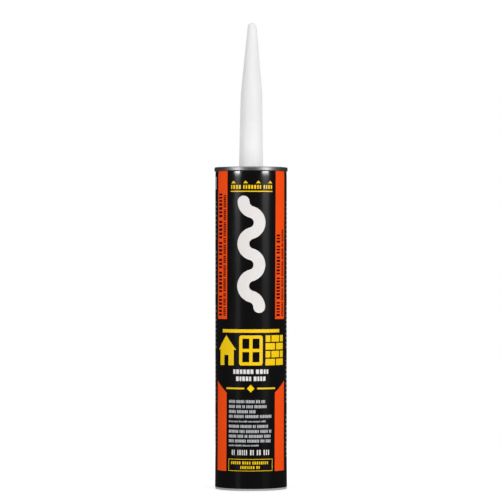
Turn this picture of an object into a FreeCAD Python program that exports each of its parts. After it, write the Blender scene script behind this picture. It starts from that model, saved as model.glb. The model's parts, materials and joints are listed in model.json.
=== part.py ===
import FreeCAD, Part
import math
import os

# A sealant cartridge for a hand gun, standing on its open end with the nozzle up.
# A wound board tube carries a printed label. A tinplate end is crimped over its top and
# clamps the flange of a moulded nozzle. A foil seal closes the nozzle from inside, the
# sealant fills the tube, and a cup plunger slides up behind it.
# Millimetres. The origin is the middle of the bottom edge, +Z is up the nozzle, and the
# front of the label faces -Y.

# Tube
barrel_height = 220.0
barrel_radius = 24.5
board_thickness = 1.0
label_thickness = 0.2
bare_edge = 1.5
foot_flare = 0.2
foot_flare_height = 30.0
fit_gap = 0.05

# Crimped end
seam_overhang = 0.6
seam_height = 2.9
seam_top_radius = 0.85
seam_foot_radius = 0.5
tin_thickness = 0.25
neck_depth = 0.2
neck_height = 4.0
lip_flare = 0.35
panel_depth = 5.0
groove_depth = 7.0
groove_radius = 0.8
panel_corner_radius = 0.6
collar_corner_radius = 0.8
collar_height = 1.0

# Nozzle
flange_radius = 13.0
flange_thickness = 1.6
hub_radius = 9.8
hub_height = 3.0
spout_root_radius = 8.4
spout_shoulder_radius = 7.65
spout_tip_radius = 3.0
shoulder_rise = 49.6
tip_rise = 99.0
shoulder_blend = 60.0
hub_blend = 1.0
flange_blend = 0.3
nozzle_wall = 1.4
tip_wall = 1.7
tip_round = 1.5
tip_slant_deg = 22.0
tip_trim = 0.15
seal_radius = 12.0
seal_thickness = 0.15

# Filling and plunger
fill_length = 173.7
plunger_height = 16.0
plunger_wall = 1.3
crown_thickness = 1.5
wiper_height = 1.0
wiper_slope = 0.8
waist_inset = 0.55
skirt_draft = 0.7
cup_round = 1.5

# Printed fields, in degrees round the tube from the front. Heights are above the base, and
# drops are below the top of the tin end.
panel_inner_deg = 40.3
panel_outer_deg = 69.2
upper_panel_bottom = 116.4
lower_panel_bottom = 13.2
lower_panel_inner_top = 66.5
lower_panel_outer_top = 74.4
arrow_pitch_deg = 20.4
arrow_count = 4
arrow_width = 3.4
arrow_height = 2.1
arrow_drop = 11.6
rule_half_deg = 35.7
rule_drop = 17.4
rule_thickness = 1.2
bead_bottom = 120.7
bead_drop = 19.8
bead_width = 8.0
bead_turn_deg = 150.0
bead_runs = 5
bar_half_deg = 51.6
bar_bottom = 107.3
bar_thickness = 2.3
icon_bottom = 85.1
icon_width = 16.0
icon_height = 20.4
icon_pitch_deg = 43.0
eaves_height = 10.5
house_wall_inset = 1.8
door_width = 3.8
door_height = 7.0
frame_bar = 2.2
frame_corner_radius = 1.5
brick_courses = 4
brick_joint = 0.9
caption_heights = (79.4, 74.6)
caption_half_degs = (29.0, 24.0)
caption_thickness = 3.0
diamond_height = 69.5
diamond_half = 2.6
divider_inner = 4.4
divider_outer = 16.5
divider_thickness = 1.1
quantity_bottom = 24.3
quantity_half_deg = 31.0
quantity_thickness = 3.6
box_half_deg = 37.3
box_bottom = 13.5
box_height = 8.2
box_line = 0.75
side_block_deg = (-110.0, -77.0)
side_block_drop = 6.8
side_block_height = 8.4

bore_radius = barrel_radius - label_thickness - board_thickness
seam_radius = barrel_radius + seam_overhang
seam_bottom = barrel_height - seam_height
board_top = barrel_height - seam_top_radius
half_tin = tin_thickness / 2
panel_middle = barrel_height - panel_depth
panel_underside = panel_middle - half_tin
groove_underside = barrel_height - groove_depth - half_tin
flange_underside = panel_underside - flange_thickness
sealant_radius = bore_radius - fit_gap
sealant_top = groove_underside - fit_gap
sealant_bottom = sealant_top - fill_length
crown_top = sealant_bottom - fit_gap
nozzle_top = barrel_height + tip_rise
arrow_base = barrel_height - arrow_drop
rule_bottom = barrel_height - rule_drop
bead_length = barrel_height - bead_drop - bead_bottom
side_block_bottom = barrel_height - side_block_drop - side_block_height

Vector = FreeCAD.Vector
origin = Vector(0, 0, 0)
up = Vector(0, 0, 1)
full_turn = 360.0


def place(x, z):
    """A point of the section plane through the axis."""
    return Vector(x, 0, z)


def polygon_face(points):
    """A flat face in the section plane from its corners."""
    corners = [place(x, z) for x, z in points]
    return Part.Face(Part.makePolygon(corners + corners[:1]))


def rounded_face(corners):
    """A flat face in the section plane. Each corner is (x, z, rounding radius)."""
    edges = []
    starts = []
    ends = []
    arcs = []
    for index, (x, z, radius) in enumerate(corners):
        here = place(x, z)
        back = place(*corners[index - 1][:2]) - here
        ahead = place(*corners[(index + 1) % len(corners)][:2]) - here
        if radius == 0:
            starts.append(here)
            ends.append(here)
            arcs.append(None)
            continue
        back.normalize()
        ahead.normalize()
        half = back.getAngle(ahead) / 2
        reach = radius / math.tan(half)
        middle = back + ahead
        middle.normalize()
        starts.append(here + back * reach)
        ends.append(here + ahead * reach)
        arcs.append(here + middle * (radius / math.sin(half) - radius))
    for index, start in enumerate(starts):
        if (start - ends[index - 1]).Length > 1e-6:
            edges.append(Part.LineSegment(ends[index - 1], start).toShape())
        if arcs[index] is not None:
            edges.append(Part.Arc(start, arcs[index], ends[index]).toShape())
    return Part.Face(Part.Wire(edges))


def strip_face(start, heading, moves, width, round_ends=False):
    """A strip of one width along straight runs and arcs in the section plane.

    Each move is ("run", length) or ("bend", radius, degrees), and a positive bend turns left.
    """
    x, z = start
    angle = math.radians(heading)
    half = width / 2
    sides = {half: [], -half: []}
    end_points = []

    def beside(offset):
        return place(x - math.sin(angle) * offset, z + math.cos(angle) * offset)

    def cap(first, last, outward):
        if not round_ends:
            return Part.LineSegment(first, last).toShape()
        middle = (first + last) * 0.5
        tip = middle + place(math.cos(outward), math.sin(outward)) * half
        return Part.Arc(first, tip, last).toShape()

    start_cap = cap(beside(-half), beside(half), angle + math.pi)
    for move in moves:
        before = {offset: beside(offset) for offset in sides}
        if move[0] == "run":
            x += math.cos(angle) * move[1]
            z += math.sin(angle) * move[1]
            for offset, edges in sides.items():
                edges.append(Part.LineSegment(before[offset], beside(offset)).toShape())
            continue
        radius = math.copysign(move[1], move[2])
        centre = place(x - math.sin(angle) * radius, z + math.cos(angle) * radius)
        halfway = angle + math.radians(move[2]) / 2
        angle += math.radians(move[2])
        x = centre.x + math.sin(angle) * radius
        z = centre.z - math.cos(angle) * radius
        for offset, edges in sides.items():
            spoke = place(math.sin(halfway), -math.cos(halfway)) * (radius - offset)
            edges.append(Part.Arc(before[offset], centre + spoke, beside(offset)).toShape())
    end_cap = cap(beside(half), beside(-half), angle)
    outline = sides[half] + [end_cap] + sides[-half][::-1] + [start_cap]
    return Part.Face(Part.Wire(outline))


def lathe(face):
    """The solid that a face of the section plane sweeps round the axis."""
    return face.revolve(origin, up, full_turn)


def swell(z):
    """How far the tube wall stands outside its straight radius at a height."""
    hook_top = seam_bottom + tin_thickness + fit_gap
    stations = [
        (0, foot_flare),
        (foot_flare_height, 0),
        (seam_bottom - neck_height, 0),
        (seam_bottom, -neck_depth),
        (hook_top, -neck_depth),
        (hook_top + lip_flare, lip_flare - neck_depth),
        (board_top, lip_flare - neck_depth),
    ]
    for (low, before), (high, after) in zip(stations, stations[1:]):
        if z <= high:
            return before + (after - before) * (z - low) / (high - low), stations
    return after, stations


def wall_ring(outer, inner, bottom):
    """One layer of the tube wall, between two radii of its straight part."""
    heights = [bottom] + [z for z, _ in swell(0)[1] if z > bottom]
    outside = [(outer + swell(z)[0], z) for z in heights]
    inside = [(inner + swell(z)[0], z) for z in heights]
    return lathe(polygon_face(outside + inside[::-1]))


def make_board_tube():
    """The wound board tube, flared a little at its foot and pinched under the crimp."""
    return wall_ring(barrel_radius - label_thickness, bore_radius, 0)


def make_label_ply():
    """The whole printed ply before its fields of colour are told apart."""
    return wall_ring(barrel_radius, barrel_radius - label_thickness, bare_edge)


def sector(from_deg, to_deg, bottom, height):
    """A slice of a cylinder that reaches past the label between two angles from the front."""
    reach = barrel_radius + seam_overhang
    piece = Part.makeCylinder(reach, height, place(0, bottom), up, to_deg - from_deg)
    piece.rotate(origin, up, from_deg - 90)
    return piece


def stencil(face, middle_deg):
    """A prism through the label wall whose outline is drawn flat at an angle from the front."""
    prism = face.copy()
    prism.translate(Vector(0, -barrel_radius - seam_overhang, 0))
    prism = prism.extrude(Vector(0, barrel_radius / 2, 0))
    prism.rotate(origin, up, middle_deg)
    return prism


def flat_offset(degrees):
    """The flat half width of something that spans this many degrees each way."""
    return barrel_radius * math.sin(math.radians(degrees))


def panel_cutters():
    """The four tall colour panels that flank the front of the label."""
    middle = (panel_inner_deg + panel_outer_deg) / 2
    half = flat_offset((panel_outer_deg - panel_inner_deg) / 2)
    tall = board_top - upper_panel_bottom
    cutters = []
    for side in (-1, 1):
        edges = sorted((side * panel_inner_deg, side * panel_outer_deg))
        cutters.append(sector(*edges, upper_panel_bottom, tall))
        outline = [
            (-side * half, lower_panel_bottom),
            (side * half, lower_panel_bottom),
            (side * half, lower_panel_outer_top),
            (-side * half, lower_panel_inner_top),
        ]
        cutters.append(stencil(polygon_face(outline), side * middle))
    return cutters


def arrow_cutters():
    """The row of small arrowheads under the crimp."""
    half = arrow_width / 2
    top = arrow_base + arrow_height
    face = polygon_face([(-half, arrow_base), (half, arrow_base), (0, top)])
    first = -arrow_pitch_deg * (arrow_count - 1) / 2
    return [stencil(face, first + arrow_pitch_deg * index) for index in range(arrow_count)]


def bead_cutter():
    """The large winding bead mark: equal arcs that turn left and right in turn."""
    chord = (bead_length - bead_width) / bead_runs
    radius = chord / 2 / math.sin(math.radians(bead_turn_deg / 2))
    sweep = radius * (1 - math.cos(math.radians(bead_turn_deg / 2)))
    half_bend = bead_turn_deg / 2
    moves = [("bend", radius, half_bend)]
    for index in range(bead_runs - 1):
        moves.append(("bend", radius, bead_turn_deg if index % 2 else -bead_turn_deg))
    last = half_bend if bead_runs % 2 == 0 else -half_bend
    moves.append(("bend", radius, last))
    start = (sweep, bead_bottom + bead_width / 2)
    return stencil(strip_face(start, 90, moves, bead_width, round_ends=True), 0)


def house_cutter():
    """A house with a door, on the left of the middle band."""
    wall = icon_width / 2 - house_wall_inset
    eaves = icon_bottom + eaves_height
    outline = [
        (-wall, icon_bottom),
        (-door_width / 2, icon_bottom),
        (-door_width / 2, icon_bottom + door_height),
        (door_width / 2, icon_bottom + door_height),
        (door_width / 2, icon_bottom),
        (wall, icon_bottom),
        (wall, eaves),
        (icon_width / 2, eaves),
        (0, icon_bottom + icon_height),
        (-icon_width / 2, eaves),
        (-wall, eaves),
    ]
    return stencil(polygon_face(outline), -icon_pitch_deg)


def window_cutter():
    """A window of four panes, in the middle of the middle band."""
    half = icon_width / 2
    top = icon_bottom + icon_height
    corners = [(-half, icon_bottom), (half, icon_bottom), (half, top), (-half, top)]
    face = rounded_face([(x, z, frame_corner_radius) for x, z in corners])
    pane_width = (icon_width - 3 * frame_bar) / 2
    pane_height = (icon_height - 3 * frame_bar) / 2
    for left in (-half + frame_bar, frame_bar / 2):
        for low in (icon_bottom + frame_bar, icon_bottom + 2 * frame_bar + pane_height):
            right = left + pane_width
            high = low + pane_height
            face = face.cut(polygon_face([(left, low), (right, low), (right, high), (left, high)]))
    return stencil(face.Faces[0], 0)


def brick_cutters():
    """A panel of bricks in staggered courses, on the right of the middle band."""
    course = (icon_height - (brick_courses - 1) * brick_joint) / brick_courses
    half = icon_width / 2
    cutters = []
    for index in range(brick_courses):
        low = icon_bottom + index * (course + brick_joint)
        joints = (0,) if index % 2 == 0 else (-half / 2, half / 2)
        lefts = [-half] + [middle + brick_joint / 2 for middle in joints]
        rights = [middle - brick_joint / 2 for middle in joints] + [half]
        for left, right in zip(lefts, rights):
            high = low + course
            face = polygon_face([(left, low), (right, low), (right, high), (left, high)])
            cutters.append(stencil(face, icon_pitch_deg))
    return cutters


def divider_cutters():
    """A diamond between two short rules, under the captions."""
    half = diamond_half
    corners = [(-half, 0), (0, -half), (half, 0), (0, half)]
    shapes = [polygon_face([(x, z + diamond_height) for x, z in corners])]
    low = diamond_height - divider_thickness / 2
    high = diamond_height + divider_thickness / 2
    for side in (-1, 1):
        near = side * divider_inner
        far = side * divider_outer
        shapes.append(polygon_face([(near, low), (far, low), (far, high), (near, high)]))
    return [stencil(face, 0) for face in shapes]


def box_cutter():
    """The outlined box near the foot of the label."""
    outer = sector(-box_half_deg, box_half_deg, box_bottom, box_height)
    line_deg = math.degrees(box_line / barrel_radius)
    inner_height = box_height - 2 * box_line
    inner_half = box_half_deg - line_deg
    inner = sector(-inner_half, inner_half, box_bottom + box_line, inner_height)
    return outer.cut(inner)


def orange_cutters():
    """All that is printed orange."""
    return panel_cutters()


def yellow_cutters():
    """All that is printed yellow."""
    rule = sector(-rule_half_deg, rule_half_deg, rule_bottom, rule_thickness)
    bar = sector(-bar_half_deg, bar_half_deg, bar_bottom, bar_thickness)
    icons = [house_cutter(), window_cutter()] + brick_cutters()
    return arrow_cutters() + [rule, bar] + icons + divider_cutters() + [box_cutter()]


def white_cutters():
    """All that is printed white."""
    cutters = [bead_cutter()]
    for low, half in zip(caption_heights, caption_half_degs):
        cutters.append(sector(-half, half, low, caption_thickness))
    half = quantity_half_deg
    cutters.append(sector(-half, half, quantity_bottom, quantity_thickness))
    cutters.append(sector(*side_block_deg, side_block_bottom, side_block_height))
    return cutters


def print_fields():
    """The label as its black ground and its orange, yellow and white fields, all flush."""
    ply = make_label_ply()
    fields = {}
    every = []
    for name, cutters in (
        ("label_orange", orange_cutters()),
        ("label_yellow", yellow_cutters()),
        ("label_white", white_cutters()),
    ):
        pieces = [solid for cutter in cutters for solid in ply.common(cutter).Solids]
        fields[name] = Part.makeCompound(pieces)
        every += cutters
    fields["label_ground"] = ply.cut(every)
    return fields


def make_tin_end():
    """The tinplate end, one sheet from the crimped hook to the collar round the nozzle."""
    wall_middle = seam_radius - half_tin
    chuck_middle = bore_radius - neck_depth - fit_gap - half_tin
    hook_tip = barrel_radius - neck_depth + fit_gap
    foot_bend = seam_foot_radius - half_tin
    top_bend = seam_top_radius - half_tin
    collar_middle = hub_radius + fit_gap + half_tin
    groove_bottom = barrel_height - groove_depth
    groove_inner = chuck_middle - 2 * groove_radius
    moves = [
        ("run", wall_middle - foot_bend - hook_tip),
        ("bend", foot_bend, 90),
        ("run", seam_height - tin_thickness - foot_bend - top_bend),
        ("bend", top_bend, 90),
        ("run", wall_middle - chuck_middle - 2 * top_bend),
        ("bend", top_bend, 90),
        ("run", groove_depth - half_tin - top_bend - groove_radius),
        ("bend", groove_radius, -180),
        ("run", panel_middle - panel_corner_radius - groove_bottom - groove_radius),
        ("bend", panel_corner_radius, 90),
        ("run", groove_inner - panel_corner_radius - collar_middle - collar_corner_radius),
        ("bend", collar_corner_radius, -90),
        ("run", collar_height),
    ]
    start = (hook_tip, seam_bottom + half_tin)
    return lathe(strip_face(start, 0, moves, tin_thickness))


def make_nozzle():
    """The moulded nozzle: flange, hub, a long gentle cone, a steeper cone and a shut tip."""
    shoulder = barrel_height + shoulder_rise
    hub_top = panel_middle + hub_height
    bore_end = nozzle_top - tip_wall
    tip_bore = spout_tip_radius - nozzle_wall
    outline = [
        (0, bore_end, 0),
        (tip_bore, bore_end, tip_bore / 2),
        (spout_shoulder_radius - nozzle_wall, shoulder, shoulder_blend),
        (spout_root_radius - nozzle_wall, flange_underside, 0),
        (flange_radius, flange_underside, flange_blend),
        (flange_radius, panel_underside, flange_blend),
        (hub_radius, panel_underside, 0),
        (hub_radius, hub_top, hub_blend),
        (spout_root_radius, barrel_height, 0),
        (spout_shoulder_radius, shoulder, shoulder_blend),
        (spout_tip_radius, nozzle_top, tip_round),
        (0, nozzle_top, 0),
    ]
    body = lathe(rounded_face(outline))
    block_side = 4 * spout_tip_radius
    block = Part.makeBox(block_side, block_side, block_side)
    block.translate(Vector(-block_side / 2, -block_side / 2, 0))
    block.rotate(origin, Vector(0, 1, 0), -tip_slant_deg)
    block.translate(Vector(0, 0, nozzle_top - tip_trim))
    return body.cut(block)


def make_foil_seal():
    """The foil disc that shuts the nozzle under its flange."""
    bottom = flange_underside - seal_thickness
    return Part.makeCylinder(seal_radius, seal_thickness, place(0, bottom), up)


def make_sealant():
    """The filling, a column from the plunger to the tin end."""
    length = sealant_top - sealant_bottom
    return Part.makeCylinder(sealant_radius, length, place(0, sealant_bottom), up)


def make_plunger():
    """The cup plunger, open downwards, with a wiper ring at each end of its skirt."""
    lip = bore_radius - fit_gap
    waist = lip - waist_inset
    foot = crown_top - plunger_height
    roof = crown_top - crown_thickness
    cup_top = waist - plunger_wall
    outline = [
        (0, crown_top, 0),
        (waist, crown_top, 0),
        (lip, crown_top - wiper_slope, 0),
        (lip, crown_top - wiper_slope - wiper_height, 0),
        (waist, crown_top - 2 * wiper_slope - wiper_height, 0),
        (waist, foot + 2 * wiper_slope + wiper_height, 0),
        (lip, foot + wiper_slope + wiper_height, 0),
        (lip, foot + wiper_slope, 0),
        (waist, foot, 0),
        (cup_top + skirt_draft, foot, 0),
        (cup_top, roof, cup_round),
        (0, roof, 0),
    ]
    return lathe(rounded_face(outline))


def export(name, shape):
    """Writes one node and prints its size."""
    box = shape.BoundBox
    solids = shape.Solids
    volume = sum(solid.Volume for solid in solids)
    shape.exportStep(os.path.join("parts", name + ".step"))
    print(f"{name}: {len(solids)} solids, {volume:.1f} mm3, z {box.ZMin:.2f} to {box.ZMax:.2f}")


def main():
    os.makedirs("parts", exist_ok=True)
    nodes = {
        "board_tube": make_board_tube(),
        "tin_end": make_tin_end(),
        "nozzle": make_nozzle(),
        "foil_seal": make_foil_seal(),
        "sealant": make_sealant(),
        "plunger": make_plunger(),
    }
    nodes.update(print_fields())
    for name, shape in nodes.items():
        export(name, shape)


main()
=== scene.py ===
# %% [markdown]
# # A sealant cartridge in Blender
#
# The object is a cartridge for a hand gun: a wound board tube with a glossy printed label,
# a rolled metal end, a long plastic nozzle and a cup plunger in the open rear end. The packed
# CAD model holds its real sizes, so this lesson starts from that frame and only dresses it.
# Lengths in the scene are in metres, and those of the label's outlines and the spun profiles are
# in millimetres. Angles round the tube are in degrees from the front of the label, and grow
# towards +X.

import json
import math
import random

import bpy
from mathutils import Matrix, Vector
from mathutils.geometry import delaunay_2d_cdt


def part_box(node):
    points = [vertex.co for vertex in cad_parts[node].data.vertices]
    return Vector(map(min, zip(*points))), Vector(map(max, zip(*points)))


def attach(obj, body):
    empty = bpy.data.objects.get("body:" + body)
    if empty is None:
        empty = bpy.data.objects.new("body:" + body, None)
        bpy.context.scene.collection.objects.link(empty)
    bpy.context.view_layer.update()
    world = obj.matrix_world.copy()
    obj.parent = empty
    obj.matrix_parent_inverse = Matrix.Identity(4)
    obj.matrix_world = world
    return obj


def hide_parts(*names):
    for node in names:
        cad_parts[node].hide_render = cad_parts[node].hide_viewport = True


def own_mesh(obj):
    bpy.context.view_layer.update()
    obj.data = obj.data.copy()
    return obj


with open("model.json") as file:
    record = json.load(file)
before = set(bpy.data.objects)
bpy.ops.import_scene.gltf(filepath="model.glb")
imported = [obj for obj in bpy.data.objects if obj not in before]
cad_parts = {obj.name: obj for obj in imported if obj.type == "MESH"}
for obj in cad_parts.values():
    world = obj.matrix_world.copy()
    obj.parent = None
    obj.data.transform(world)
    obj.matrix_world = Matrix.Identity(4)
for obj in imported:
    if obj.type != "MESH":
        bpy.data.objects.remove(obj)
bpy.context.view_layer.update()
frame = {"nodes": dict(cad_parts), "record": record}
MM = 0.001
mounts = {mount["name"]: mount for mount in frame["record"]["mounts"]}

# %% [markdown]
# ## The camera
#
# The photograph was taken from far away with a long lens, level with the middle of the
# cartridge: the rim and the foot show only slightly as ellipses. A short lens would bend them
# too much, so the distance comes first, and the focal length then sets the size in the picture.

# %% Camera
camera_distance = 1.948
camera_height = 0.16335
camera_side = -0.0007
focal_length_mm = 204.5
sensor_mm = 36.0

camera_lens = bpy.data.cameras.new("camera")
camera_lens.lens = focal_length_mm
camera_lens.sensor_width = sensor_mm
camera = bpy.data.objects.new("camera", camera_lens)
camera.location = (camera_side, -camera_distance, camera_height)
camera.rotation_euler = (math.radians(90), 0, 0)
bpy.context.scene.collection.objects.link(camera)
bpy.context.scene.camera = camera
bpy.context.scene.view_settings.view_transform = "Standard"
print("camera distance in mm:", camera_distance / MM)

# %% [markdown]
# ## Small tools for node trees
#
# A material or a world is a tree of nodes. Four short functions keep the trees readable: one
# adds a node, one sets or links a socket, one does arithmetic on the numbers that flow through
# the tree, and one moves such a number smoothly from one range to another.

# %% Node tools


def add_node(tree, kind, **settings):
    """Adds a node and gives its settings their values."""
    node = tree.nodes.new(kind)
    for name, value in settings.items():
        setattr(node, name, value)
    return node


def feed(tree, socket, value):
    """Links another socket's output to this socket, or sets it to a plain value."""
    if isinstance(value, bpy.types.NodeSocket):
        tree.links.new(value, socket)
    else:
        socket.default_value = value


def calculate(tree, operation, *values):
    """Adds a Math node on these numbers or sockets and returns its output."""
    node = add_node(tree, "ShaderNodeMath", operation=operation)
    for socket, value in zip(node.inputs, values):
        feed(tree, socket, value)
    return node.outputs[0]


def remap(tree, value, from_low, from_high, to_low, to_high):
    """Adds a smooth, clamped Map Range node and returns its output."""
    node = add_node(tree, "ShaderNodeMapRange", interpolation_type="SMOOTHSTEP")
    for socket, number in zip(node.inputs, (value, from_low, from_high, to_low, to_high)):
        feed(tree, socket, number)
    return node.outputs[0]


# %% [markdown]
# ## The studio
#
# A glossy black label is a mirror for dark things: what it reflects decides how black it looks.
# So the world has three levels of brightness. The camera sees a white wall, matte surfaces get
# an even light from all sides, and mirrors see a dim room with a pale ceiling. From the front
# only the metal end can mirror that ceiling. One white world for all three would be simpler, but
# it would turn the black label grey.

# %% World
world = bpy.data.worlds.new("studio")
world.use_nodes = True
bpy.context.scene.world = world
white_wall = 1.0
ceiling_in_gloss = 0.8
room_in_gloss = 0.028
room_for_matte = 0.555
ceiling_edge = (0.5, 0.85)

room = world.node_tree
direction = add_node(room, "ShaderNodeSeparateXYZ")
room.links.new(add_node(room, "ShaderNodeTexCoord").outputs["Generated"], direction.inputs[0])
in_gloss = remap(room, direction.outputs["Z"], *ceiling_edge, room_in_gloss, ceiling_in_gloss)
ray = add_node(room, "ShaderNodeLightPath").outputs
gloss_or_glass = calculate(room, "MAXIMUM", ray["Is Glossy Ray"], ray["Is Transmission Ray"])
no_matte_bounce = calculate(room, "LESS_THAN", ray["Diffuse Depth"], 1.0)
mirror_ray = calculate(room, "MULTIPLY", gloss_or_glass, no_matte_bounce)
gloss_gain = calculate(room, "SUBTRACT", in_gloss, room_for_matte)
indirect = calculate(room, "MULTIPLY_ADD", mirror_ray, gloss_gain, room_for_matte)
to_white = calculate(room, "SUBTRACT", white_wall, indirect)
brightness = calculate(room, "MULTIPLY_ADD", ray["Is Camera Ray"], to_white, indirect)
feed(room, room.nodes["Background"].inputs["Strength"], brightness)
room.nodes["Background"].inputs["Color"].default_value = (1, 1, 1, 1)
print("world for the camera, for matte surfaces and for mirrors:", white_wall, room_for_matte, room_in_gloss)

# %% [markdown]
# The floor is a pale disc. Part of its brightness is plain emission that only the camera sees,
# which lets it melt into the white wall, and the rest is ordinary matte shading, which keeps the
# soft shadow under the foot of the tube. It stays out of the reflections, because a pale floor
# mirrored in the glossy black foot would turn it grey. From below it is clear, so that the open
# rear end can be looked into.

# %% Floor
floor_radius = 0.45
floor_colour = 0.7
floor_lift = 0.55
floor_corners = 96
floor_drop = 0.00002

ring = [math.tau * index / floor_corners for index in range(floor_corners)]
floor_points = [
    (floor_radius * math.cos(turn), floor_radius * math.sin(turn), -floor_drop) for turn in ring
]
floor_mesh = bpy.data.meshes.new("floor")
floor_mesh.from_pydata(floor_points, [], [list(range(floor_corners))])
floor = bpy.data.objects.new("floor", floor_mesh)
bpy.context.scene.collection.objects.link(floor)
floor.visible_glossy = False

floor_material = bpy.data.materials.new("pale_floor")
floor_material.use_nodes = True
floor_tree = floor_material.node_tree
floor_shader = floor_tree.nodes["Principled BSDF"]
floor_shader.inputs["Base Color"].default_value = (floor_colour,) * 3 + (1,)
floor_shader.inputs["Roughness"].default_value = 1.0
floor_shader.inputs["Specular IOR Level"].default_value = 0.0
floor_shader.inputs["Emission Color"].default_value = (1, 1, 1, 1)
floor_ray = add_node(floor_tree, "ShaderNodeLightPath").outputs
floor_glow = calculate(floor_tree, "MULTIPLY", floor_ray["Is Camera Ray"], floor_lift)
feed(floor_tree, floor_shader.inputs["Emission Strength"], floor_glow)
from_below = add_node(floor_tree, "ShaderNodeNewGeometry").outputs["Backfacing"]
clear = calculate(floor_tree, "MAXIMUM", from_below, floor_ray["Is Shadow Ray"])
floor_mix = add_node(floor_tree, "ShaderNodeMixShader")
feed(floor_tree, floor_mix.inputs["Fac"], clear)
floor_tree.links.new(floor_shader.outputs[0], floor_mix.inputs[1])
floor_tree.links.new(add_node(floor_tree, "ShaderNodeBsdfTransparent").outputs[0], floor_mix.inputs[2])
floor_tree.links.new(floor_mix.outputs[0], floor_tree.nodes["Material Output"].inputs["Surface"])
floor_mesh.materials.append(floor_material)
print("floor radius in mm:", floor_radius / MM)

# %% [markdown]
# The light comes from two soft boxes at the front left and front right. They hang high, so that
# the upright wall of the tube misses them, and only the bent neck under the metal rim catches
# them. Faint cards below them give the weak stripes that run down the whole label. Two wide
# fills light the matte side of things alone, because a lamp that mirrors can't see brightens no
# gloss. Behind the cartridge hang one more box and one more card, and a small lamp below the
# floor shines up into the open rear end.

# %% Lamps


def soft_light(name, turn_deg, height, distance, width, length, radiance):
    """An area lamp that faces the cartridge from an angle round it, hidden from the camera."""
    lamp = bpy.data.lights.new(name, "AREA")
    lamp.shape = "RECTANGLE"
    lamp.size = width
    lamp.size_y = length
    lamp.energy = radiance * math.pi * width * length
    lamp_object = bpy.data.objects.new(name, lamp)
    turn = math.radians(turn_deg)
    place = Vector((distance * math.sin(turn), -distance * math.cos(turn), height))
    target = Vector((0, 0, camera_height))
    lamp_object.location = place
    lamp_object.rotation_euler = (target - place).to_track_quat("-Z", "Y").to_euler()
    lamp_object.visible_camera = False
    bpy.context.scene.collection.objects.link(lamp_object)
    return lamp_object


lamp_distance = 1.2
soft_boxes = {"left": (-44.5, 0.35, 25.5), "right": (48, 0.44, 23.5)}
box_centre = 0.427
box_length = 0.14
card_sides = {"left": (-42, 0.3), "right": (48, 0.5)}
card_length = 0.1
cards = {
    "left": [(0.28, 0.5), (0.18, 0.28), (0.08, 0.12), (-0.02, 0.1), (-0.17, 0.55)],
    "right": [(0.28, 0.5), (0.18, 0.28), (0.08, 0.12), (-0.02, 0.06), (-0.17, 0.12)],
}

for side, (turn_deg, width, radiance) in soft_boxes.items():
    soft_light(f"{side}_box", turn_deg, box_centre, lamp_distance, width, box_length, radiance)
for side, (turn_deg, width) in card_sides.items():
    for row, (height, radiance) in enumerate(cards[side]):
        card_name = f"{side}_card_{row}"
        soft_light(card_name, turn_deg, height, lamp_distance, width, card_length, radiance)

# %% Fills and lamps behind and below
matte_fills = {"front_fill": (28, 0.7, 1.8), "back_fill": (180, 0.9, 1.3)}
fill_height = 0.2
fill_length = 0.7
back_box_width = 0.35
back_box_radiance = 21.0
back_card_height = 0.0
back_card_width = 0.4
back_card_length = 0.8
back_card_radiance = 0.4
bore_light_height = -0.012
bore_light_width = 0.02
bore_light_radiance = 6.0
off_axis = 0.0001

for fill_name, (turn_deg, width, radiance) in matte_fills.items():
    fill = soft_light(fill_name, turn_deg, fill_height, lamp_distance, width, fill_length, radiance)
    fill.visible_glossy = False
soft_light("back_box", 180, box_centre, lamp_distance, back_box_width, box_length, back_box_radiance)
soft_light(
    "back_card",
    180,
    back_card_height,
    lamp_distance,
    back_card_width,
    back_card_length,
    back_card_radiance,
)
soft_light(
    "bore_light",
    0,
    bore_light_height,
    off_axis,
    bore_light_width,
    bore_light_width,
    bore_light_radiance,
)
print("lamps:", len(bpy.data.lights))

# %% [markdown]
# ## Shared surface effects
#
# An effect that turns up in several finishes is a node group with named inputs, so that it is
# built once and each finish gives it its own values. All of them work from the position on the
# part itself, because then they need no unwrapped map and stay put when a piece moves.

# %% Group tool


def new_group(name, numbers, colours=(), gives=()):
    """A shader group with number inputs, colour inputs, and outputs named in gives."""
    group = bpy.data.node_groups.new(name, "ShaderNodeTree")
    for label, value in numbers.items():
        socket = group.interface.new_socket(label, in_out="INPUT", socket_type="NodeSocketFloat")
        socket.default_value = value
    for label in colours:
        group.interface.new_socket(label, in_out="INPUT", socket_type="NodeSocketColor")
    for label, kind in gives:
        group.interface.new_socket(label, in_out="OUTPUT", socket_type="NodeSocket" + kind)
    inside = add_node(group, "NodeGroupInput").outputs
    outside = add_node(group, "NodeGroupOutput").inputs
    print("effect:", name)
    return group, inside, outside


def place_on_part(group):
    """The position on the part itself, in metres."""
    return add_node(group, "ShaderNodeTexCoord").outputs["Object"]


# %% [markdown]
# A board tube is wound from long strips, whose edges run round it as a helix. They show through
# the label as a faint raised band, and on the bare board there is a thin joint too. The helix
# could be a modelled ridge, but it is only microns high, so the group draws it as a band that
# repeats over the sum of the height and the angle round the tube.

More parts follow.
